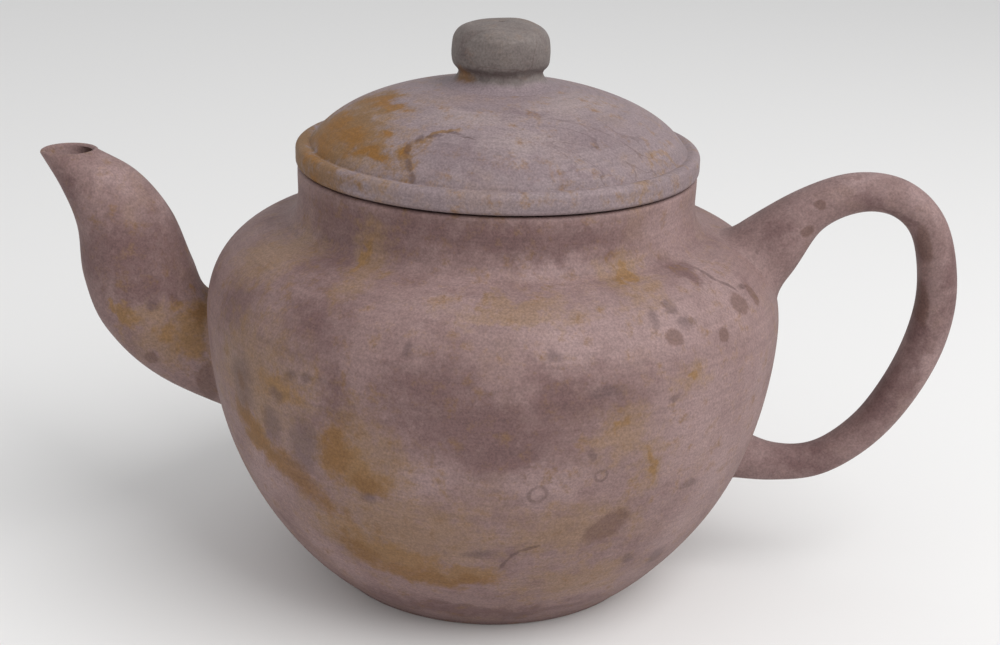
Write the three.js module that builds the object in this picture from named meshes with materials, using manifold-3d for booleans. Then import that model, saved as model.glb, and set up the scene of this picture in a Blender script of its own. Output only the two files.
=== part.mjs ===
// Round yixing teapot of unglazed purple clay, built from the pieces that a potter
// makes apart and luts together, with a lid that lifts out of the neck.
// Millimetres, +Z up. The origin is on the pot's axis, in the plane it stands on.
// The spout points along -X and the handle along +X.
import * as THREE from 'three';
import { mergeVertices } from 'three/addons/utils/BufferGeometryUtils.js';
import Module from 'manifold-3d';

// Driving dimensions
const GAP = 0.3; // left between pieces that are luted or that rest on each other
const FACETS = 40; // round the pot's axis

const BELLY_RADIUS = 60;
const BELLY_HEIGHT = 57.7; // of the widest line above the table
const BELLY_DEPTH = 69.3; // half-height of the ellipse below the widest line
const WALL = 3.2;
const FOOT_INNER_RADIUS = 29.6;
const BASE_UNDERSIDE = 1.6; // the base is set up inside the foot's edge
const BASE_TOP = 4.6;
const SHOULDER_JOINT = 0.55; // where wall and shoulder disc meet, along the shoulder's curve
const SHOULDER_JOINT_GAP = 0.012;

const NECK_OUTER_RADIUS = 41.7;
const NECK_INNER_RADIUS = 38.6;
const NECK_BOTTOM = 77.6;
const LID_SEAT = 89;

const RIM_RADIUS = 41.5;
const RIM_INNER_RADIUS = 34;
const RIM_THICKNESS = 4.1;
const LID_WALL = 3;
const DOME_RADIUS = 38.6;
const DOME_TOP = 17.1; // above the lid seat
const LOCATING_RADIUS = 38.1;
const LOCATING_THICKNESS = 2.2;
const LOCATING_DEPTH = 9.4;
const KNOB_HEIGHT = 11.8;
const VENT_RADIUS = 0.9;

const SPOUT_WALL = 2.2;
const STRAINER_HOLES = 6; // in a ring round a seventh
const STRAINER_HOLE_RADIUS = 2.1;
const STRAINER_RING_RADIUS = 6.4;
const STRAINER_HEIGHT = 45.5;

const wasm = await Module();
wasm.setup();

// Curves

const point = (x, y) => new THREE.Vector2(x, y);

// Points along a curve, moved off it to its right-hand side by an amount
function stretch(curve, from, to, steps, aside = 0) {
  return Array.from({ length: steps + 1 }, (_, i) => {
    const t = from + ((to - from) * i) / steps;
    const at = curve.getPoint(t);
    const along = curve.getTangent(t);
    return point(at.x + along.y * aside, at.y - along.x * aside);
  });
}

const bellyCurve = new THREE.EllipseCurve(
  0, BELLY_HEIGHT, BELLY_RADIUS, BELLY_DEPTH, -Math.asin(BELLY_HEIGHT / BELLY_DEPTH), 0,
);
const shoulderCurve = new THREE.CubicBezierCurve(
  point(BELLY_RADIUS, BELLY_HEIGHT), point(BELLY_RADIUS, BELLY_HEIGHT + 9),
  point(56.5, 75), point(NECK_OUTER_RADIUS, NECK_BOTTOM),
);

// The pot's skin from the foot up to a place on the shoulder, moved out by an amount
function potSkin(shoulderEnd, outwards = 0) {
  const belly = stretch(bellyCurve, 0, 1, 10, outwards);
  return [...belly, ...stretch(shoulderCurve, 0, shoulderEnd, 5, outwards).slice(1)];
}

// Geometry

// A solid of revolution; its profile runs up the outside and down the inside
function turned(profile, facets = FACETS) {
  const closed = profile[0].x > 0 ? [...profile, profile[0].clone()] : profile;
  return new THREE.LatheGeometry(closed, facets).rotateX(Math.PI / 2);
}

// A closed tube. section(t) gives its centre and two half-axes, for t from 0 to 1
function loft(section, steps, sides) {
  const tube = new THREE.CylinderGeometry(1, 1, 1, sides, steps);
  const corners = tube.attributes.position;
  const corner = new THREE.Vector3();
  for (let i = 0; i < corners.count; i += 1) {
    corner.fromBufferAttribute(corners, i);
    const { centre, across, side } = section(0.5 - corner.y);
    const moved = centre.clone().addScaledVector(across, corner.x).addScaledVector(side, corner.z);
    corners.setXYZ(i, moved.x, moved.y, moved.z);
  }
  return tube;
}

function solid(geometry) {
  const bare = geometry.clone();
  bare.deleteAttribute('normal');
  bare.deleteAttribute('uv');
  const merged = mergeVertices(bare, 1e-3);
  const index = merged.index.array;
  const triangles = [];
  for (let i = 0; i < index.length; i += 3) {
    const [a, b, c] = index.slice(i, i + 3);
    if (a !== b && b !== c && c !== a) triangles.push(a, b, c);
  }
  return new wasm.Manifold(new wasm.Mesh({
    numProp: 3,
    vertProperties: new Float32Array(merged.attributes.position.array),
    triVerts: new Uint32Array(triangles),
  }));
}

function geometryOf(manifold) {
  const { vertProperties, triVerts } = manifold.getMesh();
  const geometry = new THREE.BufferGeometry();
  geometry.setAttribute('position', new THREE.BufferAttribute(vertProperties, 3));
  geometry.setIndex(new THREE.BufferAttribute(triVerts, 1));
  geometry.computeVertexNormals();
  return geometry;
}

// Everything inside the pot's outer skin, and a gap beyond it
function potEnvelope() {
  return solid(turned([point(0, -5), ...potSkin(1, GAP), point(0, NECK_BOTTOM + GAP)]));
}

// Body

function baseDisc() {
  const radius = FOOT_INNER_RADIUS - GAP;
  return turned([
    point(0, BASE_UNDERSIDE), point(radius, BASE_UNDERSIDE), point(radius, BASE_TOP), point(0, BASE_TOP),
  ]);
}

function strainerHole(y, z) {
  const drill = new THREE.CylinderGeometry(STRAINER_HOLE_RADIUS, STRAINER_HOLE_RADIUS, 30, 10);
  return solid(drill.rotateZ(Math.PI / 2).translate(-BELLY_RADIUS, y, z));
}

function bodyWall() {
  const inside = potSkin(SHOULDER_JOINT, -WALL).filter((at) => at.y > BASE_TOP + 1).reverse();
  const floorRadius = inside.at(-1).x - 2;
  let wall = solid(turned([
    ...potSkin(SHOULDER_JOINT), ...inside,
    point(floorRadius, BASE_TOP), point(FOOT_INNER_RADIUS, BASE_TOP), point(FOOT_INNER_RADIUS, 0),
  ]));
  wall = wall.subtract(strainerHole(0, STRAINER_HEIGHT));
  for (let i = 0; i < STRAINER_HOLES; i += 1) {
    const angle = (2 * Math.PI * i) / STRAINER_HOLES;
    wall = wall.subtract(strainerHole(
      STRAINER_RING_RADIUS * Math.cos(angle), STRAINER_HEIGHT + STRAINER_RING_RADIUS * Math.sin(angle),
    ));
  }
  return geometryOf(wall);
}

function shoulderDisc() {
  const from = SHOULDER_JOINT + SHOULDER_JOINT_GAP;
  const outside = stretch(shoulderCurve, from, 1, 5);
  const inside = stretch(shoulderCurve, from, 1, 5, -WALL).reverse();
  const underside = inside[0].y;
  return turned([
    ...outside, point(NECK_INNER_RADIUS, NECK_BOTTOM), point(NECK_INNER_RADIUS, underside), ...inside,
  ]);
}

function neckRing() {
  const bottom = NECK_BOTTOM + GAP;
  const top = LID_SEAT - GAP;
  const waist = NECK_OUTER_RADIUS - 0.7;
  return turned([
    point(NECK_OUTER_RADIUS, bottom), point(waist, bottom + 2.5), point(waist, top - 1),
    point(waist - 0.5, top), point(NECK_INNER_RADIUS, top), point(NECK_INNER_RADIUS, bottom),
  ]);
}

// Spout: two outlines in the pot's XZ plane, from the mouth down to the root, are
// joined by oval sections, and the wall is what lies between the skin and the bore.

const spoutOuterOutline = new THREE.SplineCurve([
  point(-96.4, 87.4), point(-91.8, 80), point(-88.7, 72), point(-87.8, 61),
  point(-83.4, 49.6), point(-71.4, 38.6), point(-48, 29),
]);
const spoutInnerOutline = new THREE.SplineCurve([
  point(-84.7, 88.5), point(-76, 83.2), point(-69.2, 74.8), point(-66, 64.4),
  point(-62, 58.6), point(-55, 57), point(-44, 56),
]);
const spoutHalfWidth = new THREE.SplineCurve(
  [5.7, 7.6, 10, 11.3, 11.6, 12, 12.5].map((width, i) => point(i, width)),
);

// Past the mouth the bore runs on upwards, so that it opens the end
function spoutSection(t, wall) {
  const outer = spoutOuterOutline.getPoint(Math.max(t, 0));
  const inner = spoutInnerOutline.getPoint(Math.max(t, 0));
  const reach = inner.clone().sub(outer).divideScalar(2);
  const centre = outer.clone().add(inner).divideScalar(2);
  reach.setLength(reach.length() - wall);
  const halfWidth = spoutHalfWidth.getPoint(Math.max(t, 0)).y - wall;
  return {
    centre: new THREE.Vector3(centre.x, 0, centre.y + (t < 0 ? 2 : 0)),
    across: new THREE.Vector3(reach.x, 0, reach.y),
    side: new THREE.Vector3(0, -halfWidth, 0),
  };
}

function spout() {
  const skin = solid(loft((t) => spoutSection(t, 0), 14, 20));
  const wallAt = (t) => SPOUT_WALL * (0.7 + 0.3 * Math.min(1, Math.max(t, 0) * 5));
  const bore = solid(loft((t) => {
    const along = t === 0 ? -1 : t;
    return spoutSection(along, wallAt(along));
  }, 14, 20));
  return geometryOf(skin.subtract(bore).subtract(potEnvelope()));
}

// Handle: an ear-shaped strap of oval section, thick where it leaves the shoulder

const handleLine = new THREE.CatmullRomCurve3([
  [48, 64], [56, 73], [64.5, 81.9], [74, 86.2], [83, 85.3], [89.5, 79], [92.4, 67],
  [91.4, 55.6], [87.1, 44], [80.5, 33.9], [71.5, 26.9], [61.5, 25.4], [50, 27.5],
].map(([x, z]) => new THREE.Vector3(x, 0, z)));
const handleThickness = new THREE.SplineCurve(
  [8.6, 7.4, 4.7, 4, 3.8, 3.8, 4, 4.1, 3.9, 3.6, 3.5, 3.9, 5.6].map((half, i) => point(i, half)),
);

function handle() {
  const section = (t) => {
    const along = handleLine.getTangent(t);
    const half = handleThickness.getPoint(t).y;
    return {
      centre: handleLine.getPoint(t),
      across: new THREE.Vector3(along.z, 0, -along.x).multiplyScalar(half),
      side: new THREE.Vector3(0, Math.min(half * 1.15, half + 0.6), 0),
    };
  };
  return geometryOf(solid(loft(section, 30, 12)).subtract(potEnvelope()));
}

// Lid, with its heights counted from the lid seat

function rimRing() {
  const roundness = 2.8;
  const edge = stretch(new THREE.EllipseCurve(
    RIM_RADIUS - roundness, RIM_THICKNESS / 2, roundness, RIM_THICKNESS / 2, -0.9, Math.PI / 2,
  ), 0, 1, 7);
  return turned([
    ...edge, point(RIM_INNER_RADIUS, RIM_THICKNESS), point(RIM_INNER_RADIUS, 0), point(RIM_RADIUS - 1.6, 0),
  ]);
}

function lidDome() {
  const edge = RIM_THICKNESS + GAP;
  const curve = new THREE.CubicBezierCurve(
    point(DOME_RADIUS, edge), point(30.9, edge + 10.9), point(10.4, DOME_TOP), point(0, DOME_TOP),
  );
  const inside = stretch(curve, 0, 0.9, 9, -LID_WALL).filter((at) => at.y > edge + 0.6).reverse();
  return turned([
    ...stretch(curve, 0, 0.9, 9), point(VENT_RADIUS, DOME_TOP), point(VENT_RADIUS, DOME_TOP - LID_WALL),
    ...inside, point(DOME_RADIUS - LID_WALL - 0.8, edge),
  ]);
}

function locatingRing() {
  const top = -GAP;
  const inner = LOCATING_RADIUS - LOCATING_THICKNESS;
  return turned([
    point(LOCATING_RADIUS, top), point(inner, top), point(inner, -LOCATING_DEPTH),
    point(LOCATING_RADIUS - 0.8, -LOCATING_DEPTH), point(LOCATING_RADIUS, 1 - LOCATING_DEPTH),
  ]);
}

function knob() {
  const bottom = DOME_TOP + GAP;
  const top = bottom + KNOB_HEIGHT;
  const outside = new THREE.SplineCurve([
    point(9.9, bottom), point(8.7, bottom + 2), point(9.3, bottom + 4.8), point(9.8, bottom + 7.2),
    point(8.6, bottom + 10.3), point(4.6, top - 0.1), point(VENT_RADIUS, top),
  ]);
  return turned([...stretch(outside, 0, 1, 14), point(VENT_RADIUS, bottom)], 28);
}

// Scene graph

function piece(name, geometry, colour) {
  const clay = new THREE.MeshStandardMaterial({ color: colour, roughness: 0.72, metalness: 0 });
  const mesh = new THREE.Mesh(geometry, clay);
  mesh.name = name;
  return mesh;
}

const pot = new THREE.Group();
pot.add(
  piece('base_disc', baseDisc(), '#6b5450'),
  piece('body_wall', bodyWall(), '#7d6460'),
  piece('shoulder_disc', shoulderDisc(), '#866c68'),
  piece('neck_ring', neckRing(), '#7d6460'),
  piece('spout', spout(), '#806660'),
  piece('handle', handle(), '#785e58'),
);

const lid = new THREE.Group();
lid.position.z = LID_SEAT;
lid.add(
  piece('lid_rim_ring', rimRing(), '#8c7470'),
  piece('lid_dome', lidDome(), '#8a736f'),
  piece('lid_locating_ring', locatingRing(), '#75605b'),
  piece('knob', knob(), '#7a6560'),
);

const teapot = new THREE.Group();
teapot.add(pot, lid);

export default teapot;
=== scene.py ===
import math

import bmesh
import bpy
from mathutils import Matrix, Vector, noise
from mathutils.bvhtree import BVHTree


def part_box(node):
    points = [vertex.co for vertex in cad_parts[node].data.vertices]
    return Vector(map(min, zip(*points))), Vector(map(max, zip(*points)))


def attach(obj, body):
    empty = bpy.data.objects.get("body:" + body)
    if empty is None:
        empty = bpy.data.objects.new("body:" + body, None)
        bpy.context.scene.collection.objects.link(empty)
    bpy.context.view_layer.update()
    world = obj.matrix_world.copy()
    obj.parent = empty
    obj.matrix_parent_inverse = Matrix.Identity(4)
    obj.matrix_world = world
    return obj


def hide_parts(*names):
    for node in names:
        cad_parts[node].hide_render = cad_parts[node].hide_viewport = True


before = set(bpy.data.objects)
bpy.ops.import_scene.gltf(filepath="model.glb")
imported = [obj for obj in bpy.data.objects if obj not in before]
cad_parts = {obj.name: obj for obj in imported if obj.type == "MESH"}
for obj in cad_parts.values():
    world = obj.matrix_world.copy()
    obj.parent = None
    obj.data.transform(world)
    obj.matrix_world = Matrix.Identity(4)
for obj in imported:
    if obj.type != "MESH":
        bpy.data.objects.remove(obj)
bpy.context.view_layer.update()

bl_info = {
    "name": "Purple Clay Teapot",
    "version": (1, 0, 0),
    "blender": (4, 5, 0),
    "location": "View3D > Sidebar > Teapot",
    "description": "Models a round teapot of unglazed purple clay with its stains",
    "category": "Add Mesh",
}

MM = 0.001
POT_NODES = ("base_disc", "body_wall", "shoulder_disc", "neck_ring")
LID_NODES = ("lid_dome", "lid_rim_ring", "lid_locating_ring")
SINK = 0.15 * MM  # how far a joined piece's edge lies under the skin it joins


def top(node):
    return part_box(node)[1].z


def bottom(node):
    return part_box(node)[0].z


def radius(node):
    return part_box(node)[1].y


# ---------------------------------------------------------------- sizes and colours


def length(name, description, default):
    return bpy.props.FloatProperty(
        name=name, description=description, default=default, unit="LENGTH", precision=5
    )


def colour(name, description, hex_value):
    return bpy.props.FloatVectorProperty(
        name=name, description=description, subtype="COLOR", size=3, min=0, max=1,
        default=linear(hex_value)[:3],
    )


def linear(hex_value):
    """A colour written as sRGB hex, as linear RGBA."""
    parts = (int(hex_value[i : i + 2], 16) / 255 for i in (1, 3, 5))
    return tuple(c / 12.92 if c <= 0.04045 else ((c + 0.055) / 1.055) ** 2.4 for c in parts) + (1.0,)


class TeapotSizes(bpy.types.PropertyGroup):
    belly_radius: length("Belly radius", "At the widest line", radius("body_wall"))
    belly_height: length("Belly height", "The widest line above the table", 57.7 * MM)
    belly_depth: length("Belly depth", "Half-height of the ellipse below the widest line", 69.3 * MM)
    wall: length("Wall", "Thickness of the pot's wall", 3.2 * MM)
    neck_radius: length("Neck radius", "Outside of the neck at its foot", radius("neck_ring"))
    mouth_radius: length("Mouth radius", "Inside of the neck", 38.6 * MM)
    neck_foot: length("Neck foot", "Height where the neck leaves the shoulder", top("shoulder_disc"))
    lid_seat: length("Lid seat", "Height where the lid's flange rests", bottom("lid_rim_ring"))
    flange_radius: length("Flange radius", "Outside of the lid", radius("lid_rim_ring"))
    dome_foot: length("Dome foot", "Radius where the dome leaves the flange", radius("lid_dome"))
    dome_top: length("Dome top", "Height of the dome", top("lid_dome"))
    lid_wall: length("Lid wall", "Thickness of the dome", 3 * MM)
    locating_radius: length("Locating radius", "Ring under the lid", radius("lid_locating_ring"))
    vent_radius: length("Vent radius", "Needle hole through knob and dome", 0.9 * MM)
    knob_top: length("Knob top", "Height of the whole pot", top("knob"))
    strainer_holes: bpy.props.IntProperty(
        name="Strainer holes", description="Holes behind the spout, one of them in the middle",
        default=7, min=2,
    )
    strainer_radius: length("Strainer ring", "Radius of the ring of holes", 6.4 * MM)
    strainer_hole: length("Strainer hole", "Radius of each hole", 2.1 * MM)
    strainer_height: length("Strainer height", "Middle of the strainer above the table", 45.5 * MM)


class TeapotColours(bpy.types.PropertyGroup):
    clay: colour("Clay", "Mauve-brown fired clay", "#856c6a")
    second: colour("Second clay", "Warmer clay that drifts through it", "#806864")
    # Besides soaked clay, this shade paints shade on the neck under the lid's flange and where the belly
    # turns under to its foot
    dark: colour("Soaked and shaded clay", "Clay where oil and tea have soaked in", "#644a49")
    pale: colour("Rubbed clay", "Clay rubbed clean by handling", "#977f7d")
    khaki: colour("Tinge", "Thin yellow-brown film", "#856a51")
    ochre: colour("Ochre", "Iron-yellow stain", "#81603a")
    rust: colour("Rust", "Strong orange crust", "#785530")
    grey: colour("Greyed clay", "Grey-purple blot", "#594646")
    drip: colour("Drip", "Brown tea drip", "#61473f")
    score: colour("Score", "Dirt in a scratch or crack", "#4d3937")
    knob_clay: colour("Knob clay", "Grey, much-fingered clay of the knob", "#716966")
    knob_second: colour("Second knob clay", "Browner clay that drifts through the knob", "#6e6460")
    # Besides soaked clay, this shade paints the shade round the knob's waist under its bulb
    knob_dark: colour("Soaked and shaded knob clay", "Darker clay of the knob", "#5c504e")
    knob_pale: colour("Rubbed knob clay", "Paler clay of the knob", "#7f7874")
    lid_ochre: colour("Lid ochre", "Iron-yellow stain on the lid", "#76552c")
    lid_rust: colour("Lid rust", "Orange-brown stain on the lid", "#80561f")
    lid_clay: colour("Lid clay", "Greyer clay of the lid", "#827376")
    lid_second: colour("Second lid clay", "Pinker clay that drifts through the lid", "#867576")
    lid_dark: colour("Soaked lid clay", "Darker clay of the lid", "#776669")
    lid_pale: colour("Rubbed lid clay", "Paler clay of the lid", "#958583")


def palette(colours, part=""):
    """The colours of one part's clay, by what they are for."""
    shades = {name: tuple(getattr(colours, part + name)) for name in ("clay", "second", "dark", "pale")}
    for name in ("khaki", "ochre", "rust", "grey", "drip", "score"):
        shades[name] = tuple(getattr(colours, name))
    shades["foot"] = tuple(colours.lid_clay)
    if part == "lid_":
        shades["ochre"], shades["rust"] = tuple(colours.lid_ochre), tuple(colours.lid_rust)
    return shades


# ---------------------------------------------------------------- outlines


def bezier(start, lead, trail, end, steps):
    """Points along a cubic curve, from its start to its end."""
    points = []
    for i in range(steps + 1):
        t = i / steps
        s = 1 - t
        points.append(
            Vector(start) * s**3 + Vector(lead) * 3 * s * s * t
            + Vector(trail) * 3 * s * t * t + Vector(end) * t**3
        )
    return points


def ellipse(centre, radii, start, end, steps):
    """Points round part of an ellipse, with its angles in radians."""
    angles = (start + (end - start) * i / steps for i in range(steps + 1))
    return [Vector((centre[0] + radii[0] * math.cos(a), centre[1] + radii[1] * math.sin(a))) for a in angles]


def offset(points, distance):
    """An outline moved sideways, towards its right-hand side."""
    moved = []
    for i, p in enumerate(points):
        along = (points[min(i + 1, len(points) - 1)] - points[max(i - 1, 0)]).normalized()
        moved.append(Vector((p.x + along.y * distance, p.y - along.x * distance)))
    return moved


def through(points, t):
    """The place at t, from 0 to 1, on a smooth curve through evenly counted points."""
    span = min(max(t, 0), 1) * (len(points) - 1)
    i = min(int(span), len(points) - 2)
    before, a, b, after = (points[min(max(k, 0), len(points) - 1)] for k in (i - 1, i, i + 1, i + 2))
    if i == 0:
        before = a * 2 - b
    if i == len(points) - 2:
        after = b * 2 - a
    u = span - i
    return (
        a * 2 + (b - before) * u + (before * 2 - a * 5 + b * 4 - after) * u**2
        + (a * 3 - before - b * 3 + after) * u**3
    ) / 2


# ---------------------------------------------------------------- mesh making


def turn(outline, steps, closed=True):
    """A bmesh turned on the pot's axis from (radius, height) or (radius, height, rounding) points."""
    bm = bmesh.new()
    corners = [(bm.verts.new((p[0], 0, p[1])), p[2] if len(p) > 2 else 0) for p in outline]
    verts = [v for v, _ in corners]
    for a, b in zip(verts, verts[1:]):
        bm.edges.new((a, b))
    if closed:
        bm.edges.new((verts[-1], verts[0]))
    for vert, rounding in corners:
        if rounding:
            bmesh.ops.bevel(
                bm, geom=[vert], offset=rounding, segments=6, profile=0.5, affect="VERTICES", material=-1
            )
    bmesh.ops.spin(
        bm, geom=bm.verts[:] + bm.edges[:], cent=(0, 0, 0), axis=(0, 0, 1),
        angle=2 * math.pi, steps=steps, use_merge=True,
    )
    bmesh.ops.remove_doubles(bm, verts=bm.verts[:], dist=0.001 * MM)
    bmesh.ops.recalc_face_normals(bm, faces=bm.faces[:])
    return bm


def ring(bm, places):
    """A closed ring of vertices, one at each place."""
    made = bmesh.ops.create_circle(bm, cap_ends=False, radius=1, segments=len(places))["verts"]
    for vert, place in zip(made, places):
        vert.co = place
    return made


def edges_of(verts):
    return list({edge for vert in verts for edge in vert.link_edges if edge.other_vert(vert) in verts})


def skin_over(bm, rings, closed=False):
    """A skin through rings of places, each extruded from the one before. Gives its first and last vertices.

    Extruding keeps each vertex with its own neighbour. Bridging can join two close rings half way round.
    """
    first = verts = ring(bm, rings[0])
    for places in rings[1:] + (rings[:1] if closed else []):
        new = set(bmesh.ops.extrude_edge_only(bm, edges=edges_of(verts))["geom"])
        verts = [next(edge.other_vert(vert) for edge in vert.link_edges if edge.other_vert(vert) in new)
                 for vert in verts]
        for vert, place in zip(verts, places):
            vert.co = place
    if closed:
        bmesh.ops.remove_doubles(bm, verts=first + verts, dist=0.001 * MM)
    return first, verts


def roughen(bm, size, depth, keep=None):
    """Moves the skin in and out a little, as hands leave it. keep(place) is 0 where it stays."""
    bm.normal_update()
    moves = []
    for vert in bm.verts:
        share = keep(vert.co) if keep else 1
        moves.append(vert.normal * (noise.noise(vert.co / size) * depth * share))
    for vert, move in zip(bm.verts, moves):
        vert.co += move


def inside_of(low, high, fade=6 * MM):
    """A keep() for roughen that is 0 at and past two heights, and 1 well between them."""
    return lambda place: min(1, max(0, min(place.z - low, high - place.z) / fade))


def make_piece(name, bm, body, nodes, material):
    """Turns a bmesh into a shaded piece that rides on a body and stands for CAD nodes."""
    mesh = bpy.data.meshes.new(name)
    bm.to_mesh(mesh)
    bm.free()
    mesh.shade_smooth()
    mesh.set_sharp_from_angle(angle=math.radians(50))
    mesh.materials.append(material)
    piece = bpy.data.objects.new(name, mesh)
    bpy.context.scene.collection.objects.link(piece)
    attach(piece, body)
    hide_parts(*nodes)
    return piece


# ---------------------------------------------------------------- the pot's own shapes


def pot_outline(sizes):
    """The pot's section, up the outside from under the base and down the inside."""
    drop = 0.985 * sizes.belly_height  # the belly's curve ends just above the table, at the foot's edge
    belly = ellipse(
        (0, sizes.belly_height), (sizes.belly_radius, sizes.belly_depth),
        -math.asin(drop / sizes.belly_depth), 0, steps=46,
    )
    shoulder = bezier(
        (sizes.belly_radius, sizes.belly_height), (sizes.belly_radius, sizes.belly_height + 9 * MM),
        (56.5 * MM, 75 * MM), (sizes.neck_radius, sizes.neck_foot), steps=26,
    )
    skin = belly + shoulder[1:]
    # The inside leaves out the corner at the base, and the part of the shoulder that the mouth opens
    above_base, past_mouth, shoulder_from = 6.5 * MM, 42 * MM, 60 * MM
    inner = [
        p for p in reversed(offset(skin, -sizes.wall))
        if p.y > above_base and (p.x > past_mouth or p.y < shoulder_from)
    ]
    foot = skin[0].x
    waist = sizes.neck_radius - 0.7 * MM
    lip = sizes.lid_seat - 0.3 * MM
    set_up = 1.6 * MM  # how far the base's underside stands off the table
    return [
        (0, set_up), (27.5 * MM, set_up, 1.5 * MM), (29.8 * MM, 0, 0.5 * MM), (foot - 0.6 * MM, 0, 0.5 * MM),
        *skin[:-4],
        (sizes.neck_radius, sizes.neck_foot, 2.6 * MM), (waist, 83 * MM), (waist + 0.1 * MM, lip - 2 * MM),
        (waist + 0.1 * MM, lip, 0.8 * MM), (sizes.mouth_radius, lip, 0.7 * MM),
        (sizes.mouth_radius, sizes.neck_foot - sizes.wall, 1.5 * MM),
        *inner,
        (31 * MM, 4.7 * MM), (0, 4.6 * MM),
    ]


# The spout's outlines from mouth to root, on the side away from the pot and on the side towards it, with
# half its width at the same steps
SPOUT_OUTER = [Vector((x, z)) * MM for x, z in (
    (-96.4, 88.1), (-91.8, 80), (-88.7, 72), (-87.8, 61), (-83.4, 49.6), (-71.4, 38.6), (-48, 29),
)]
SPOUT_INNER = [Vector((x, z)) * MM for x, z in (
    (-84.9, 87.9), (-76, 83.2), (-69.2, 74.8), (-65, 64.4), (-62, 57.8), (-55, 55.5), (-44, 54),
)]
SPOUT_HALF_WIDTH = [Vector((w, 0)) * MM for w in (5.7, 7.6, 10, 11.3, 11.6, 12, 12.5)]
SPOUT_WALL = 2.2 * MM
LIP_WALL = 1.1 * MM
SPOUT_MOUTH = 0.016  # where the spout's rounded lip begins, from 0 to 1 along its outlines
SPOUT_DEEP = 0.97  # a place along them that is under the pot's skin on every side

# The handle's middle line from shoulder to belly, and half its thickness at the same steps
HANDLE_LINE = [Vector((x, 0, z)) * MM for x, z in (
    (48, 64), (56, 73), (64.5, 81.9), (74, 86.2), (83, 85.3), (89.5, 79), (92.4, 67),
    (91.4, 55.6), (87.1, 44), (80.5, 33.9), (71.5, 26.9), (61.5, 25.4), (50, 27.5),
)]
HANDLE_HALF = [Vector((h, 0)) * MM for h in (8.6, 7.4, 4.7, 4, 3.8, 3.8, 4, 4.1, 3.9, 3.6, 3.5, 3.9, 5.6)]
HANDLE_CORNERS = 0.86  # 1 gives an oval section, and less gives it fuller corners
NUDGE = 0.004  # a small step along an outline, to find its direction


def spout_place(t, angle, wall=0.0):
    """A place on the spout at t, from mouth to root, wall deep in its clay."""
    outer, inner = through(SPOUT_OUTER, t), through(SPOUT_INNER, t)
    reach, centre = (inner - outer) / 2, (outer + inner) / 2
    reach *= 1 - wall / reach.length
    half_width = through(SPOUT_HALF_WIDTH, t).x - wall
    c, s = math.cos(angle), math.sin(angle)
    return Vector((centre.x + reach.x * c, half_width * s, centre.y + reach.y * c))


def spout_bore(t, angle):
    """A place on the inside of the spout, whose wall thins towards the mouth."""
    return spout_place(t, angle, LIP_WALL + (SPOUT_WALL - LIP_WALL) * min(1, 4 * t))


def handle_place(t, angle):
    """A place on the handle at t, from the shoulder round to the belly. It is a little wider than thick."""
    centre = through(HANDLE_LINE, t)
    along = (through(HANDLE_LINE, t + NUDGE) - through(HANDLE_LINE, t - NUDGE)).normalized()
    across = Vector((along.z, 0, -along.x))
    half = through(HANDLE_HALF, t).x
    half_width = min(half * 1.15, half + 0.6 * MM)
    c, s = (math.copysign(abs(f) ** HANDLE_CORNERS, f) for f in (math.cos(angle), math.sin(angle)))
    return centre + across * (half * c) + Vector((0, half_width * s, 0))


def halve(start, end, before):
    """Narrows in on where before(t) stops being true between start and end."""
    halvings = 24  # this is finer than a vertex's own rounding
    for _ in range(halvings):
        middle = (start + end) / 2
        start, end = (middle, end) if before(middle) else (start, middle)
    return start


def landing(tree, rail, start, end):
    """The t at which rail(t), outside the skin at start and inside it at end, meets the skin."""

    def outside(t):
        found, normal = tree.find_nearest(rail(t))[:2]
        return (rail(t) - found).dot(normal) > 0

    return halve(start, end, outside)


def tube(place, starts, ends, angles, steps):
    """Rings of places along a tube, at each angle from its own start to its own end."""
    return [
        [place(start + (end - start) * i / steps, a) for start, end, a in zip(starts, ends, angles)]
        for i in range(steps + 1)
    ]


def rooted(tree, place, angles, start, end, reach, spread, steps):
    """How a tube ends in the skin: the t where its fillet begins at each angle, and the fillet's rings.

    reach is how far up the tube the fillet starts, and spread how far out over the skin it ends.
    """
    landed = [landing(tree, lambda t: place(t, a), start, end) for a in angles]
    hits = [place(t, a) for t, a in zip(landed, angles)]
    middle = sum(hits, Vector()) / len(hits)
    leaves = [
        halve(start, t, lambda s: (place(s, a) - hit).length > reach)
        for t, a, hit in zip(landed, angles, hits)
    ]
    curves = []
    for i, (t, a, hit) in enumerate(zip(leaves, angles, hits)):
        normal = tree.find_nearest(hit)[1]
        out = (hits[(i + 1) % len(hits)] - hits[i - 1]).cross(normal).normalized()
        out *= math.copysign(1, out.dot(hit - middle))
        foot, normal = tree.find_nearest(hit + out * spread)[:2]
        foot = foot - normal * SINK
        begin = place(t, a)
        curves.append([begin.lerp(hit, s / steps).lerp(hit.lerp(foot, s / steps), s / steps)
                       for s in range(1, steps + 1)])
    return leaves, [[curve[s] for curve in curves] for s in range(steps)]


# ---------------------------------------------------------------- materials


def node(tree, kind, inputs=None, **settings):
    """Adds a shader node, sets its properties, and sets or links its sockets."""
    made = tree.nodes.new(kind)
    for name, value in settings.items():
        setattr(made, name, value)
    for key, value in (inputs or {}).items():
        if isinstance(value, bpy.types.NodeSocket):
            tree.links.new(value, made.inputs[key])
        else:
            made.inputs[key].default_value = value
    return made


def new_material(name):
    material = bpy.data.materials.new(name)
    material.use_nodes = True
    material.node_tree.nodes.clear()
    return material


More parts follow.
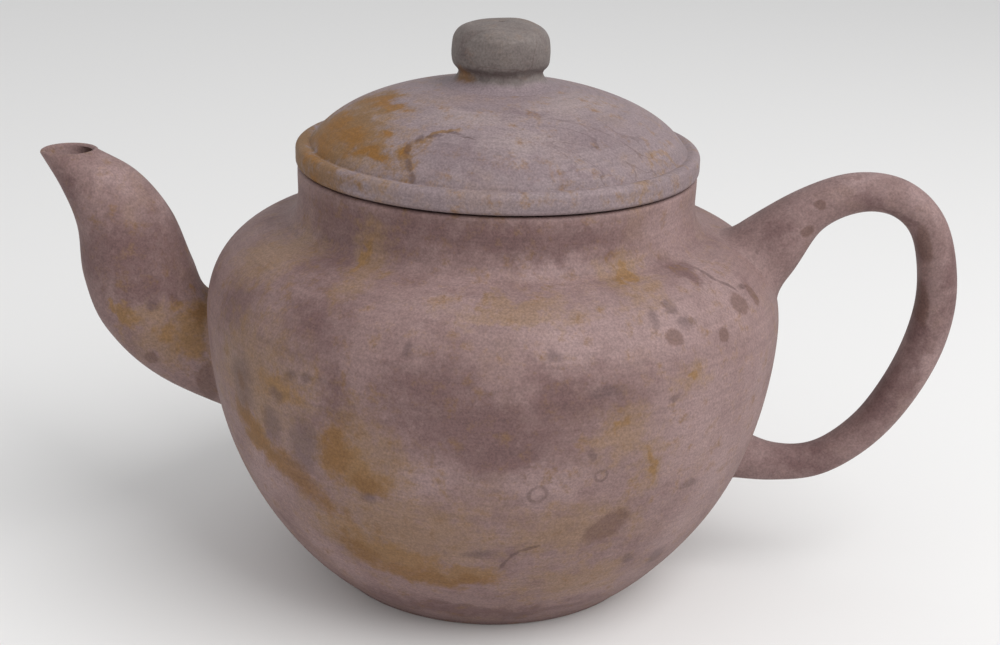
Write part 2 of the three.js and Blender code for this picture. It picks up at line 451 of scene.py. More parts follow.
# How each kind of stain lies: its colour, its strength, the depths into its zone at which it begins and
# is full, how ragged its edge is, how far the edge wanders in millimetres, and how far past its mark it
# reaches. They are laid in this order.
KINDS = {
    "rubbed": ("pale", 0.6, -0.05, 0.9, 0.9, 12, 1.5),
    # Besides real soaking, the soaked kind carries painted shade: under the lid's flange, under the knob's
    # bulb and at the belly's foot
    "soaked_and_shaded": ("dark", 0.8, 0.05, 0.9, 1.6, 12, 1.6),
    "tinged": ("khaki", 0.62, 0.0, 0.8, 1.8, 12, 1.6),
    "ochre": ("ochre", 0.78, 0.0, 0.7, 1.7, 9, 1.55),
    "rusty": ("rust", 0.8, 0.03, 0.75, 1.5, 6, 1.6),
    "greyed": ("grey", 0.52, 0.0, 0.7, 0.8, 4, 1.45),
    "dripped": ("drip", 0.65, 0.02, 0.4, 0.4, 2, 1.2),
    "scored": ("score", 0.55, 0.0, 0.6, 0.5, 1.5, 1.15),
    "ringed": ("score", 0.4, 0.0, 0.7, 0.6, 1.5, 1),
    "footed": ("foot", 1.0, 0.0, 0.5, 0.4, 2, 1),
}

# The clay's noises: the size of their features in millimetres, their detail and their roughness
GRADES = {
    "broad": (24, 4.0, 0.6),  # two clays that were wedged together
    "film": (11, 5.0, 0.62),  # a thin film of tea
    "cloudy": (8, 5.0, 0.62),  # oil soaked in unevenly
    "drift": (5, 3.0, 0.6),  # the wander of a stain's edge
    "mottle": (3.2, 6.0, 0.7),  # uneven firing
    "fleck": (1.7, 4.0, 0.7),  # small dark flecks
    "sand": (0.45, 2.0, 0.6),  # grit, drawn a little coarser than the real 0.2 mm so that it shows
}


def zone(tree, place, mark, reach=1.0):
    """1 in the middle of a mark, falling to 0 at its edge."""
    at, turned, size = mark
    scale = (size[0] * reach, size[1], size[2] * reach)
    over = node(
        tree, "ShaderNodeMapping", {"Vector": place, "Location": at, "Rotation": turned, "Scale": scale},
        vector_type="TEXTURE",
    )
    return node(tree, "ShaderNodeTexGradient", {0: over.outputs[0]}, gradient_type="SPHERICAL").outputs[1]


def highest(tree, fields):
    """The highest of several values."""
    most = fields[0]
    for field in fields[1:]:
        most = node(tree, "ShaderNodeMath", {0: most, 1: field}, operation="MAXIMUM").outputs[0]
    return most


def lay(tree, under, over, field, begins, full, amount):
    """Colour over laid on colour under, as field rises from begins to full."""
    mask = node(
        tree, "ShaderNodeMapRange", {0: field, 1: begins, 2: full, 3: 0.0, 4: amount},
        interpolation_type="SMOOTHSTEP",
    ).outputs[0]
    return node(tree, "ShaderNodeMix", {0: mask, 6: under, 7: (*over, 1.0)}, data_type="RGBA").outputs[2]


def clay_material(name, shades, stains, veins=(), clouds=0.5, khaki=0.3):
    """Unglazed stoneware of purple clay: dense, matt and sandy, softly burnished, and stained by use.

    It gives the eye a dry, faintly sheeny skin with a fine sandy grain, and colour soaked in unevenly.
    """
    material = new_material(name)
    tree = material.node_tree
    place = node(tree, "ShaderNodeTexCoord").outputs["Object"]
    noises = {
        grade: node(
            tree, "ShaderNodeTexNoise",
            {"Vector": place, "Scale": 1 / (size * MM), "Detail": detail, "Roughness": rough},
        )
        for grade, (size, detail, rough) in GRADES.items()
    }
    level = {grade: made.outputs[0] for grade, made in noises.items()}
    middle = (0.5, 0.5, 0.5)
    drift = node(
        tree, "ShaderNodeVectorMath", {0: noises["drift"].outputs[1], 1: middle}, operation="SUBTRACT"
    ).outputs[0]
    uneven = node(tree, "ShaderNodeMath", {0: level["mottle"], 1: 0.5}, operation="SUBTRACT").outputs[0]

    # Burnishing lines run round the pot: noise read by radius and height, and hardly by direction
    axes = node(tree, "ShaderNodeSeparateXYZ", {0: place})
    flat = node(tree, "ShaderNodeVectorMath", {0: place, 1: (1, 1, 0)}, operation="MULTIPLY").outputs[0]
    far = node(tree, "ShaderNodeVectorMath", {0: flat}, operation="LENGTH").outputs["Value"]
    sweep = node(tree, "ShaderNodeMath", {0: axes.outputs[0], 1: 0.06}, operation="MULTIPLY").outputs[0]
    round_about = node(tree, "ShaderNodeCombineXYZ", {0: far, 1: sweep, 2: axes.outputs[2]}).outputs[0]
    burnish = node(
        tree, "ShaderNodeTexNoise",
        {"Vector": round_about, "Scale": 1 / (0.9 * MM), "Detail": 3.0, "Roughness": 0.6},
    ).outputs[0]

    body = node(
        tree, "ShaderNodeMix", {0: level["broad"], 6: (*shades["clay"], 1.0), 7: (*shades["second"], 1.0)},
        data_type="RGBA",
    ).outputs[2]
    # Unstained clay is uneven too. Each row is a shade, the noise it follows, the levels of that noise at
    # which it begins and is full, and its strength
    for shade, grade, begins, full, amount in (
        ("dark", "cloudy", 0.42, 0.78, clouds), ("khaki", "film", 0.5, 0.75, khaki),
        ("pale", "mottle", 0.46, 0.7, 0.4), ("dark", "fleck", 0.5, 0.74, 0.3),
    ):
        body = lay(tree, body, shades[shade], level[grade], begins, full, amount)
    for kind, (shade, amount, begins, full, ragged, wander, reach) in KINDS.items():
        if kind not in stains:
            continue
        shift = node(tree, "ShaderNodeVectorMath", {0: drift, "Scale": wander * MM}, operation="SCALE")
        terms = {0: place, 1: shift.outputs[0]}
        moved = node(tree, "ShaderNodeVectorMath", terms, operation="ADD").outputs[0]
        field = highest(tree, [zone(tree, moved, mark, reach) for mark in stains[kind]])
        if kind == "ringed":
            # A drop dries darkest in a ring, halfway from its middle to its edge
            folded = node(tree, "ShaderNodeMath", {0: field, 1: 0.5}, operation="PINGPONG").outputs[0]
            sharper = {0: folded, 1: 4.5, 2: -1.4}
            field = node(tree, "ShaderNodeMath", sharper, operation="MULTIPLY_ADD").outputs[0]
        torn = {0: uneven, 1: ragged, 2: field}
        field = node(tree, "ShaderNodeMath", torn, operation="MULTIPLY_ADD").outputs[0]
        body = lay(tree, body, shades[shade], field, begins, full, amount)

    # Hairline veins: where a drawn-out noise crosses its middle value
    if veins:
        drawn = node(
            tree, "ShaderNodeMapping", {"Vector": place, "Rotation": (0, 0, -0.5), "Scale": (0.22, 1, 0.6)}
        )
        wave = node(
            tree, "ShaderNodeTexNoise",
            {"Vector": drawn.outputs[0], "Scale": 1 / (5 * MM), "Detail": 1.0, "Roughness": 0.5},
        ).outputs[0]
        near = node(tree, "ShaderNodeMath", {0: wave, 1: 0.5, 2: 0.01}, operation="COMPARE").outputs[0]
        where = highest(tree, [zone(tree, place, mark) for mark in veins])
        thin = node(tree, "ShaderNodeMath", {0: near, 1: where}, operation="MULTIPLY").outputs[0]
        body = lay(tree, body, shades["score"], thin, 0.0, 0.7, 0.35)

    grains = node(tree, "ShaderNodeMapRange", {0: level["sand"], 1: 0.3, 2: 0.7, 3: 0.8, 4: 1.2}).outputs[0]
    lines = node(tree, "ShaderNodeMapRange", {0: burnish, 1: 0.3, 2: 0.7, 3: 0.92, 4: 1.08}).outputs[0]
    both = node(tree, "ShaderNodeMath", {0: grains, 1: lines}, operation="MULTIPLY").outputs[0]
    body = node(
        tree, "ShaderNodeMix", {0: 1.0, 6: body, 7: both}, data_type="RGBA", blend_type="MULTIPLY"
    ).outputs[2]
    rough = node(tree, "ShaderNodeMapRange", {0: level["cloudy"], 1: 0.3, 2: 0.7, 3: 0.6, 4: 0.75}).outputs[0]
    # The skin's relief adds up from the sand, the burnishing lines and the mottle
    relief = level["sand"]
    for part, height in ((burnish, 0.6), (level["mottle"], 1.2)):
        added = {0: part, 1: height, 2: relief}
        relief = node(tree, "ShaderNodeMath", added, operation="MULTIPLY_ADD").outputs[0]
    bump = node(tree, "ShaderNodeBump", {"Height": relief, "Strength": 0.5, "Distance": 0.09 * MM}).outputs[0]
    shader = node(
        tree, "ShaderNodeBsdfPrincipled",
        {"Base Color": body, "Roughness": rough, "Normal": bump, "IOR": 1.5, "Specular IOR Level": 0.35},
    )
    node(tree, "ShaderNodeOutputMaterial", {"Surface": shader.outputs[0]})
    return material


# ---------------------------------------------------------------- where the stains and some painted shade lie

DEEP = 30 * MM  # how far through the clay a mark reaches


def around(bearing, out, height, half_width, half_height, tilt):
    """A mark on an upright skin, by its bearing in degrees, as its place, turn and half sizes."""
    facing = math.radians(bearing)
    at = (out * math.sin(facing), -out * math.cos(facing), height * MM)
    return at, (0, -math.radians(tilt), facing), (half_width * MM, DEEP, half_height * MM)


def on_pot(sizes, mark):
    """A mark on the pot: bearing, height, half width, half height and tilt."""
    height = mark[1] * MM
    if height > sizes.neck_foot:
        out = sizes.neck_radius
    elif height > sizes.belly_height:
        rise = (height - sizes.belly_height) / (sizes.neck_foot - sizes.belly_height)
        out = sizes.neck_radius + (sizes.belly_radius - sizes.neck_radius) * math.sqrt(1 - rise**2)
    else:
        out = sizes.belly_radius * math.sqrt(1 - ((sizes.belly_height - height) / sizes.belly_depth) ** 2)
    return around(mark[0], out, *mark[1:])


def on_knob(sizes, mark):
    """A mark on the knob: bearing, height, half width, half height and tilt."""
    knob_radius = 10 * MM
    return around(mark[0], knob_radius, *mark[1:])


def on_lid(sizes, mark):
    """A mark on the lid: bearing, distance from the middle, half width, half depth and tilt."""
    bearing, out, half_width, half_depth, tilt = mark
    facing = math.radians(bearing)
    share = out * MM / sizes.flange_radius
    height = sizes.dome_top + (sizes.lid_seat - sizes.dome_top) * share**2
    at = (out * MM * math.sin(facing), -out * MM * math.cos(facing), height)
    return at, (0, 0, facing + math.radians(tilt)), (half_width * MM, half_depth * MM, DEEP)


def on_side(sizes, mark):
    """A mark on the near side of spout or handle: its place from spout to handle, then as on the pot."""
    along, height, half_width, half_height, tilt = mark
    near_side = -10 * MM
    at = (along * MM, near_side, height * MM)
    return at, (0, -math.radians(tilt), 0), (half_width * MM, DEEP, half_height * MM)


def laid(stains, sizes, on_skin):
    return {kind: [on_skin(sizes, mark) for mark in marks] for kind, marks in stains.items()}


# Marks are in millimetres and degrees. Bearings count from the front, up towards the handle and below 0
# towards the spout, and past 90 either way they are round the back.
POT_STAINS = {
    "rubbed": [
        (15, 79, 8, 3, 0), (-5, 75, 9, 3, 0), (22, 71, 14, 6, 0), (42, 71, 12, 8, -10),
        (58, 72, 10, 7, -10), (45, 50, 12, 14, 0), (55, 38, 9, 14, 0), (-10, 42, 9, 5, 10),
        (15, 43, 8, 5, 0), (-48, 34, 6, 10, -40), (50, 25, 8, 8, 0), (65, 50, 9, 18, 0), (60, 83, 8, 5, 0),
        (-35, 18, 10, 5, -35), (30, 14, 12, 4, 0),
    ],
    "soaked_and_shaded": [
        # The marks at (-35, 83), (-18, 86), (-40, 78), (5, 84) and (25, 84) are painted shade on the neck
        # under the lid's flange
        (0, 55, 19, 7, 0), (18, 60, 12, 5, -5), (-33, 69, 8, 7, 10), (-55, 66, 8, 7, 0),
        (-25, 57, 3, 6, 0), (-35, 83, 18, 6, 0), (-18, 86, 12, 5, 0), (-40, 78, 9, 5, 0),
        # The wide mark at (0, 7) is painted shade where the belly turns under to its foot
        (5, 84, 20, 4, 0), (25, 84, 12, 4, 0), (0, 7, 26, 3, 0), (54, 76.5, 4, 2, -10), (-8, 62, 10, 5, 0),
        (5, 50, 12, 5, 0), (150, 62, 14, 9, 0), (-160, 50, 10, 12, 10), (125, 78, 10, 5, 0),
        (-130, 82, 14, 5, 0),
    ],
    "tinged": [
        (-45, 55, 15, 11, 0), (-58, 75, 9, 5, 0), (-30, 79, 4, 7, 10), (-12, 30, 16, 9, 0),
        (-20, 45, 10, 10, 0), (-25, 25, 12, 7, -25), (37, 77, 6, 3, 0), (8, 74, 12, 1.5, 0),
        (42, 62, 4, 3, 0), (28, 52, 6, 6, 0), (34, 45, 3, 7, 0), (-32, 80, 3, 5, 10), (20, 32, 12, 6, 0),
        (25, 17, 12, 5, 0), (-170, 38, 18, 7, 0),
    ],
    "ochre": [
        (-32, 79, 1.2, 3, 10), (-22, 43, 7, 5, -30), (-16, 23, 13, 4, -20), (-2, 20, 8, 2.5, 5),
        (-38, 56, 6, 3, 0), (-46, 42, 6, 4, -40), (37, 77, 2, 0.8, 0), (42, 62, 1.5, 0.8, 0),
        (27, 54, 1.5, 1.5, 0), (34, 45, 1, 3.5, 0), (140, 52, 6, 9, 20), (-165, 36, 12, 4, 10),
        (170, 22, 10, 3, 0), (-155, 78, 8, 2, 0),
    ],
    "rusty": [
        (-48, 43, 7, 3, -45), (-36, 36.5, 9, 3.4, -32), (-26, 46, 3, 6, 0), (-20, 40, 4, 2.4, -30),
        (-24, 22, 6, 2.4, -35), (-12, 18.5, 9, 2.2, -5), (0, 18.5, 5, 1.5, 5), (-50, 53, 1.5, 1.5, 0),
        (145, 43, 5, 2, -35), (-164, 35, 6, 1.6, 8),
    ],
    "greyed": [
        (-50, 53, 4, 6, 0), (-41, 47, 2.5, 4, -10), (-33, 45, 3.5, 6, -10), (-35, 59, 1.6, 1.1, 0),
        (-31, 59.5, 1.2, 1, 0), (-39, 54, 2, 1.5, 0), (-20, 37, 2, 1.5, 0), (-12, 68, 1, 1.5, 0),
        (14, 68, 1.5, 1, 0), (1.5, 27, 3, 1, 10), (36, 72, 1, 1.6, 0), (41, 73, 1.3, 1, 0),
        (43, 70.5, 2.2, 0.9, 0), (24, 61, 3.5, 1.2, -5), (38, 58, 1.5, 0.6, 20), (36, 21, 2, 1.2, 0),
        (47, 18, 2, 3, 30), (46, 37, 2.5, 1.2, -10), (22, 49, 1, 1, 0), (156, 48, 3, 4, 10),
        (-148, 44, 3, 2.5, 0), (178, 28, 3, 1, 20),
    ],
    "dripped": [
        (27.5, 31.5, 5, 3.4, 30), (39, 68.5, 2, 1.5, 0), (52, 66.5, 1.8, 1.4, -10), (61, 70, 3, 2, -10),
        (68, 70, 1.4, 2.4, 0), (-176, 62, 3.5, 2.2, 20),
    ],
    "scored": [
        (7, 24, 2, 0.5, 60), (9, 26.5, 2, 0.5, 45), (12, 28, 2.5, 0.5, 15), (59, 75, 1.5, 0.5, -50),
        (61.5, 73, 2.5, 0.5, -35), (66, 72, 2, 0.5, -10),
    ],
    "ringed": [(12.5, 41, 3.2, 3.2, 0), (24, 44, 2.4, 2.4, 0)],
}
SPOUT_STAINS = {
    "rubbed": [(-79, 84, 5, 3, -15), (-69, 77, 3, 5, 0)],
    "soaked_and_shaded": [(-76, 69, 10, 8, 0), (-84, 66, 4, 10, 0), (-89, 80, 3, 7, 20), (-72, 61, 7, 3, 0)],
    "tinged": [(-67, 51, 9, 5, 20), (-72, 56, 6, 2, 0)],
    "ochre": [
        (-62, 55, 3.5, 3.5, 0), (-75.5, 55.5, 2, 2.5, 20), (-68, 52, 2, 2, 0), (-63, 50, 3.5, 3, 0),
        (-66, 58, 1.5, 1.2, 0), (-79, 57, 1, 1.5, 0),
    ],
    "rusty": [(-62, 55.5, 1.5, 1.5, 0)],
    "greyed": [(-70.5, 58, 1.2, 1.2, 0)],
    "dripped": [(-71.5, 46, 1.6, 1.6, 0), (-59.5, 41, 2.6, 5.4, -10)],
}
HANDLE_STAINS = {
    "rubbed": [(88, 86, 5, 2, -40), (75, 90, 8, 1, 5), (92, 50, 2.5, 9, -20)],
    "soaked_and_shaded": [
        (88, 62, 2.5, 14, 5), (80, 83, 8, 1.5, -15), (84, 43, 4, 9, -35), (68, 27, 8, 3, 0),
        (58, 79, 4, 3, 40), (95, 68, 3, 12, 0),
    ],
    "dripped": [(89, 64, 1.5, 5, 5), (88, 77, 1.6, 4.5, 15), (66, 84.5, 1.2, 1.2, 0), (64, 79, 1.6, 1.3, 20)],
}
LID_STAINS = {
    "rubbed": [(15, 30, 11, 5, 0), (-12, 23, 9, 5, 0), (55, 18, 12, 8, 0)],
    "soaked_and_shaded": [
        (16, 20, 5, 3, 0), (0, 35, 14, 3, 0), (-8, 33, 8, 4, 0), (38, 30, 12, 5, 0), (25, 37, 14, 1.2, 0),
        (160, 26, 9, 5, 0), (-120, 30, 6, 6, 0),
    ],
    "tinged": [
        (-60, 30, 16, 11, 0), (-85, 40, 22, 4, 0), (-50, 38, 16, 3, 0), (62, 37, 5, 1.5, 0),
        (46, 41, 3, 1.5, 0),
    ],
    "ochre": [
        (-62, 32, 11, 8, 0), (-75, 26, 9, 7, 0), (-52, 33, 9, 6, 0), (-42, 35.5, 9, 3, 0),
        (-26, 34, 1.6, 4.5, 30), (-64, 36, 12, 4, 0), (-78, 35, 10, 5, 0), (-21, 30, 4, 1.2, 20),
        (-85, 40, 16, 3, 0), (-58, 40.5, 14, 2.4, 0), (140, 33, 9, 4, 0), (-150, 32, 7, 3, 0),
    ],
    "rusty": [
        (-57, 34, 7, 3.5, 0), (-66, 24, 7, 3, 10), (-70, 33, 6, 4, 0), (-40, 31, 1.4, 1.8, 0),
        (-40, 36, 5, 1.2, 0), (-27, 33.5, 0.8, 3, 30), (-68, 37, 7, 2.5, 0), (-62, 40, 5, 1.5, 0),
    ],
    "scored": [
        (-27, 33.5, 0.8, 2.4, 30), (-26, 31, 1, 1.4, -10), (-21, 30, 2.4, 0.6, 15),
        (-14, 28.6, 2.4, 0.5, 0), (-8, 29.5, 1.8, 0.3, -15), (-24, 36.3, 0.7, 1.8, 45),
        (-21.5, 38, 0.6, 1.2, 50),
    ],
}
LID_VEINS = [(45, 34, 17, 11, 0), (30, 28, 8, 8, 0)]
KNOB_STAINS = {
    # The thin band at (-15, 108) is painted shade round the knob's waist, under the overhanging bulb
    "soaked_and_shaded": [(-15, 108, 12, 1.2, 0), (-50, 112, 3, 3, 20)],
    "footed": [(0, 105, 40, 2.6, 0)],
    "rusty": [(-50, 107.6, 2.5, 1.6, 0)],
}
KNOB_VEINS = [(0, 113, 14, 8, 0)]


# ---------------------------------------------------------------- operators


def pierce(piece, cutter):
    """Cuts the cutter's shape out of a piece."""
    tool = bpy.data.objects.new("cutter", bpy.data.meshes.new("cutter"))
    cutter.to_mesh(tool.data)
    cutter.free()
    bpy.context.scene.collection.objects.link(tool)
    cut = piece.modifiers.new("holes", "BOOLEAN")
    cut.object, cut.operation, cut.solver = tool, "DIFFERENCE", "EXACT"
    whole = piece.data
    piece.data = bpy.data.meshes.new_from_object(piece.evaluated_get(bpy.context.evaluated_depsgraph_get()))
    piece.data.name = whole.name
    piece.modifiers.clear()
    bm = bmesh.new()
    bm.from_mesh(piece.data)
    bmesh.ops.dissolve_degenerate(bm, edges=bm.edges[:], dist=0.005 * MM)
    bmesh.ops.triangulate(bm, faces=[face for face in bm.faces if len(face.verts) > 4])
    bm.to_mesh(piece.data)
    bm.free()
    bpy.data.meshes.remove(whole)
    bpy.data.meshes.remove(tool.data)


class TEAPOT_OT_pot(bpy.types.Operator):
    """Model the pot: base, belly, shoulder and neck, with the strainer holes"""

    bl_idname = "teapot.pot"
    bl_label = "Pot"

    def execute(self, context):
        sizes = context.scene.teapot_sizes
        bm = turn(pot_outline(sizes), steps=240)
        roughen(bm, size=22 * MM, depth=0.25 * MM, keep=inside_of(3 * MM, sizes.neck_foot))
        clay = clay_material(
            "fired_purple_clay_pot", palette(context.scene.teapot_colours), laid(POT_STAINS, sizes, on_pot)
        )
        pot = make_piece("pot_body", bm, "pot", POT_NODES, clay)
        strainer = bmesh.new()
        in_wall, sides = -57 * MM, 24
        # Half a facet's turn keeps the cutters' corners off the pot's own edges, where a cut leaves slivers
        level = Matrix.Rotation(math.pi / 2, 4, "Y") @ Matrix.Rotation(math.pi / sides, 4, "Z")
        for i in range(sizes.strainer_holes):
            turned = 2 * math.pi * i / (sizes.strainer_holes - 1)
            out = sizes.strainer_radius if i < sizes.strainer_holes - 1 else 0
            at = Vector((in_wall, out * math.sin(turned), sizes.strainer_height + out * math.cos(turned)))
            bmesh.ops.create_cone(
                strainer, cap_ends=True, segments=sides, radius1=sizes.strainer_hole,
                radius2=sizes.strainer_hole, depth=16 * MM, matrix=Matrix.Translation(at) @ level,
            )
        pierce(pot, strainer)
        return {"FINISHED"}


def outer_skin():
    """The outside of the pot alone, to land the spout and handle on."""
    bm = bmesh.new()
    bm.from_mesh(bpy.data.objects["pot_body"].data)
    # The walls of the strainer's holes look sideways, and would mislead the test for what is outside the pot
    sideways = 0.2
    inner = [
        face for face in bm.faces
        if face.normal.xy.dot(face.calc_center_median().xy.normalized()) <= sideways
    ]
    bmesh.ops.delete(bm, geom=inner, context="FACES")
    tree = BVHTree.FromBMesh(bm)
    bm.free()
    return tree


class TEAPOT_OT_spout(bpy.types.Operator):
    """Model the hollow spout, luted onto the belly over the strainer"""

    bl_idname = "teapot.spout"
    bl_label = "Spout"

    def execute(self, context):
        bm, tree = bmesh.new(), outer_skin()
        sides, outer_steps, bore_steps, lip_steps = 72, 44, 30, 5
        halfway = 0.5
        angles = [2 * math.pi * i / sides for i in range(sides)]
        leaves, fillet = rooted(
            tree, spout_place, angles, halfway, SPOUT_DEEP, reach=1.6 * MM, spread=1.1 * MM, steps=6
        )
        ends = [landing(tree, lambda t: spout_bore(t, a), halfway, SPOUT_DEEP) for a in angles]
        rings = tube(spout_place, [SPOUT_MOUTH] * sides, leaves, angles, outer_steps)
        rings += fillet
        bore = tube(spout_bore, [SPOUT_MOUTH] * sides, ends, angles, bore_steps)
        bore[-1] = [at - tree.find_nearest(at)[1] * SINK for at in bore[-1]]
        rings += bore[::-1]
        # The lip is half a round from the bore back to the outside
        rim = spout_place(SPOUT_MOUTH, 0) - spout_place(SPOUT_MOUTH, math.pi)
        up = Vector((-rim.z, 0, rim.x)).normalized()
        for i in range(lip_steps - 1, 0, -1):
            turned = math.pi * i / lip_steps
            wall = LIP_WALL / 2 * (1 - math.cos(turned))
            rings.append([
                spout_place(SPOUT_MOUTH, a, wall) + up * LIP_WALL / 2 * math.sin(turned) for a in angles
            ])
        skin_over(bm, rings, closed=True)
        bmesh.ops.recalc_face_normals(bm, faces=bm.faces[:])
        clay = clay_material(
            "fired_purple_clay_spout", palette(context.scene.teapot_colours),
            laid(SPOUT_STAINS, context.scene.teapot_sizes, on_side),
        )
        make_piece("spout_skin", bm, "pot", ("spout",), clay)
        return {"FINISHED"}


class TEAPOT_OT_handle(bpy.types.Operator):
    """Model the ear-shaped handle, luted onto shoulder and belly"""

    bl_idname = "teapot.handle"
    bl_label = "Handle"

    def execute(self, context):
        bm, tree = bmesh.new(), outer_skin()
        sides, steps = 64, 90
        angles = [2 * math.pi * i / sides for i in range(sides)]
        high, shoulder = rooted(
            tree, handle_place, angles, start=0.3, end=0.0, reach=4 * MM, spread=2.4 * MM, steps=8
        )
        low, belly = rooted(
            tree, handle_place, angles, start=0.8, end=1.0, reach=3 * MM, spread=1.8 * MM, steps=8
        )
        rings = shoulder[::-1] + tube(handle_place, high, low, angles, steps) + belly
        for end in skin_over(bm, rings):
            cap = bmesh.ops.edgeloop_fill(bm, edges=edges_of(end))["faces"]
            bmesh.ops.poke(bm, faces=cap)
        bmesh.ops.recalc_face_normals(bm, faces=bm.faces[:])
        clay = clay_material(
            "fired_purple_clay_handle", palette(context.scene.teapot_colours),
            laid(HANDLE_STAINS, context.scene.teapot_sizes, on_side), clouds=0.4, khaki=0.2,
        )
        make_piece("handle_skin", bm, "pot", ("handle",), clay)
        return {"FINISHED"}


class TEAPOT_OT_lid(bpy.types.Operator):
    """Model the lid: flange, dome and the locating ring under it"""

    bl_idname = "teapot.lid"
    bl_label = "Lid"

    def execute(self, context):
        sizes = context.scene.teapot_sizes
        seat = sizes.lid_seat
        foot = seat + 4.4 * MM
        dome = bezier(
            (sizes.dome_foot, foot), (30.9 * MM, foot + 10.9 * MM), (10.4 * MM, sizes.dome_top),
            (0, sizes.dome_top), 40,
        )[:-2]
        ceiling = [p for p in reversed(offset(dome, -sizes.lid_wall)) if p.y > foot + 0.5 * MM]
        flange = sizes.flange_radius
        side = ellipse((flange - 0.9 * MM, seat + 1 * MM), (0.9 * MM, 0.9 * MM), -1.2, 0, 5)
        side += ellipse((flange - 1.5 * MM, seat + 3.1 * MM), (1.5 * MM, 1.4 * MM), 0, 1.7, 10)
        locating = sizes.locating_radius
        hangs_to = seat - 9.3 * MM
        outline = [
            (locating - 0.3 * MM, hangs_to, 0.8 * MM), (locating, seat, 0.3 * MM),
            (flange - 1.4 * MM, seat, 0.4 * MM),
            *side, (sizes.dome_foot, foot - 0.35 * MM, 0.3 * MM), *dome[1:],
            (sizes.vent_radius, sizes.dome_top), (sizes.vent_radius, sizes.dome_top - sizes.lid_wall),
            *ceiling, (34 * MM, seat + 3 * MM, 1 * MM), (locating - 2.2 * MM, seat - 1 * MM, 1.2 * MM),
            (locating - 2.3 * MM, hangs_to, 0.8 * MM),
        ]
        bm = turn(outline, steps=220)
        roughen(bm, size=18 * MM, depth=0.15 * MM, keep=inside_of(seat, sizes.knob_top))
        clay = clay_material(
            "fired_purple_clay_lid", palette(context.scene.teapot_colours, "lid_"),
            laid(LID_STAINS, sizes, on_lid), veins=[on_lid(sizes, mark) for mark in LID_VEINS],
            clouds=0.35, khaki=0.25,
        )
        make_piece("lid_skin", bm, "lid", LID_NODES, clay)
        return {"FINISHED"}


class TEAPOT_OT_knob(bpy.types.Operator):
    """Model the waisted knob, a little out of true as hand-shaped ones are"""

    bl_idname = "teapot.knob"
    bl_label = "Knob"

    def execute(self, context):
        sizes = context.scene.teapot_sizes
        foot, vent, peak = sizes.dome_top, sizes.vent_radius, sizes.knob_top
        bulb = [Vector(p) for p in (
            (12.2 * MM, foot - 0.85 * MM), (9.7 * MM, foot + 0.3 * MM), (8.6 * MM, foot + 1.7 * MM),
            (8.75 * MM, foot + 2.7 * MM), (9.75 * MM, foot + 4.0 * MM), (10.0 * MM, foot + 6.6 * MM),
            (9.7 * MM, foot + 9.4 * MM), (8.0 * MM, foot + 11.2 * MM), (4.2 * MM, peak - 0.1 * MM),
            (vent, peak),
        )]
        points = 60
        skin = [through(bulb, i / points) for i in range(points)]
        under = [(vent, peak - 0.2 * MM), (vent, foot - 1 * MM), (12.4 * MM, foot - 1.1 * MM)]
        bm = turn([*skin, *under], steps=160)
        fade = 3 * MM
        roughen(bm, size=7 * MM, depth=0.5 * MM, keep=lambda at: min(1, max(0, (at.z - foot) / fade)))
        clay = clay_material(
            "fired_purple_clay_knob", palette(context.scene.teapot_colours, "knob_"),
            laid(KNOB_STAINS, sizes, on_knob), veins=[on_knob(sizes, mark) for mark in KNOB_VEINS],
        )
        make_piece("knob_bulb", bm, "lid", ("knob",), clay)
        return {"FINISHED"}


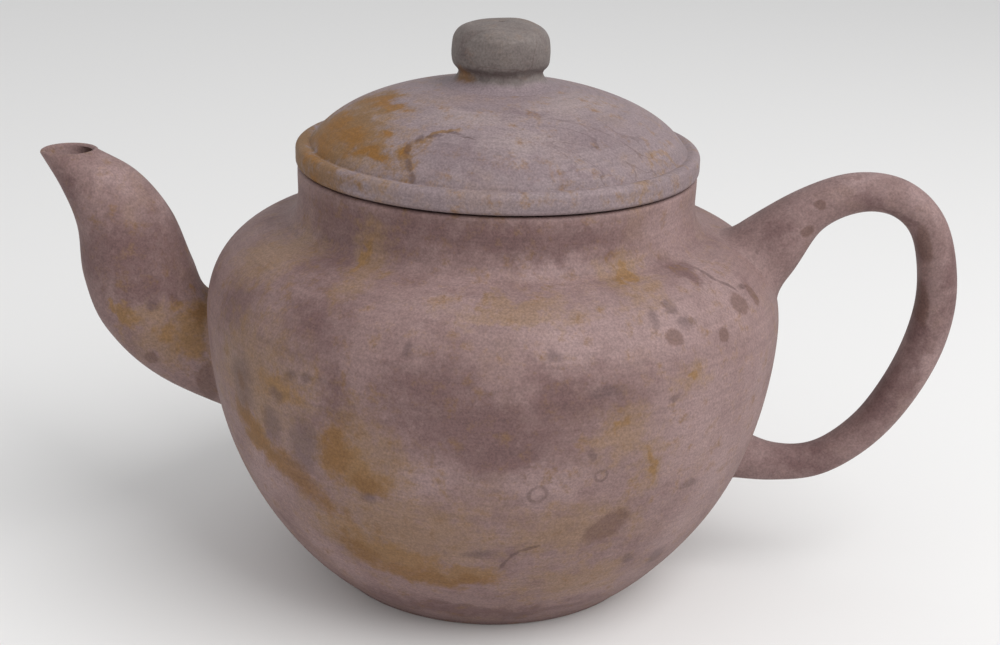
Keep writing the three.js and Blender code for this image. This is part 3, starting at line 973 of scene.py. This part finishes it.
class TEAPOT_OT_stage(bpy.types.Operator):
    """Set the pale floor, the soft lights and the camera"""

    bl_idname = "teapot.stage"
    bl_label = "Stage"

    def execute(self, context):
        scene = context.scene
        scene.view_settings.view_transform = "Standard"
        bm = bmesh.new()
        bmesh.ops.create_grid(bm, x_segments=8, y_segments=8, size=4)
        mesh = bpy.data.meshes.new("floor")
        bm.to_mesh(mesh)
        bm.free()
        floor = bpy.data.objects.new("floor", mesh)
        scene.collection.objects.link(floor)
        paper = new_material("pale_paper_floor")
        tree = paper.node_tree
        matt = node(tree, "ShaderNodeBsdfPrincipled", {"Base Color": linear("#e8e7e6"), "Roughness": 0.9})
        node(tree, "ShaderNodeOutputMaterial", {"Surface": matt.outputs[0]})
        mesh.materials.append(paper)

        world = bpy.data.worlds.new("pale_room")
        world.use_nodes = True
        sky = world.node_tree.nodes["Background"]
        sky.inputs["Color"].default_value = linear("#e2e3e4")
        sky.inputs["Strength"].default_value = 0.86
        scene.world = world
        lit = Vector((0, 0, 0.05))
        for name, at, size, power in (
            ("window", (0.55, -0.35, 0.78), 0.8, 7.4), ("room_fill", (-0.9, -0.8, 0.5), 1.2, 1),
        ):
            lamp = bpy.data.lights.new(name, "AREA")
            lamp.size, lamp.energy = size, power
            holder = bpy.data.objects.new(name, lamp)
            holder.location = at
            holder.rotation_euler = (lit - Vector(at)).to_track_quat("-Z", "Y").to_euler()
            scene.collection.objects.link(holder)

        camera = bpy.data.cameras.new("camera")
        camera.lens, camera.sensor_width, camera.clip_start = 58.94, 36, 0.01
        holder = bpy.data.objects.new("camera", camera)
        eye, aim = Vector((18.83, -329.63, 170.19)) * MM, Vector((1.55, 0.08, 54.07)) * MM
        look = (aim - eye).to_track_quat("-Z", "Y").to_matrix()
        roll = Matrix.Rotation(math.radians(1.87), 3, "Z")
        holder.matrix_world = Matrix.Translation(eye) @ (look @ roll).to_4x4()
        scene.collection.objects.link(holder)
        scene.camera = holder
        return {"FINISHED"}


STEPS = (TEAPOT_OT_pot, TEAPOT_OT_spout, TEAPOT_OT_handle, TEAPOT_OT_lid, TEAPOT_OT_knob, TEAPOT_OT_stage)


class TEAPOT_PT_panel(bpy.types.Panel):
    """Lists the teapot's pieces in the order they are modelled"""

    bl_label = "Teapot"
    bl_space_type = "VIEW_3D"
    bl_region_type = "UI"
    bl_category = "Teapot"

    def draw(self, context):
        for step in STEPS:
            self.layout.operator(step.bl_idname)


CLASSES = (TeapotSizes, TeapotColours, *STEPS, TEAPOT_PT_panel)


def register():
    for one in CLASSES:
        bpy.utils.register_class(one)
    bpy.types.Scene.teapot_sizes = bpy.props.PointerProperty(type=TeapotSizes)
    bpy.types.Scene.teapot_colours = bpy.props.PointerProperty(type=TeapotColours)


def unregister():
    del bpy.types.Scene.teapot_sizes, bpy.types.Scene.teapot_colours
    for one in reversed(CLASSES):
        bpy.utils.unregister_class(one)


def main():
    register()
    for step in STEPS:
        group, name = step.bl_idname.split(".")
        getattr(getattr(bpy.ops, group), name)()


if __name__ == "__main__":
    main()
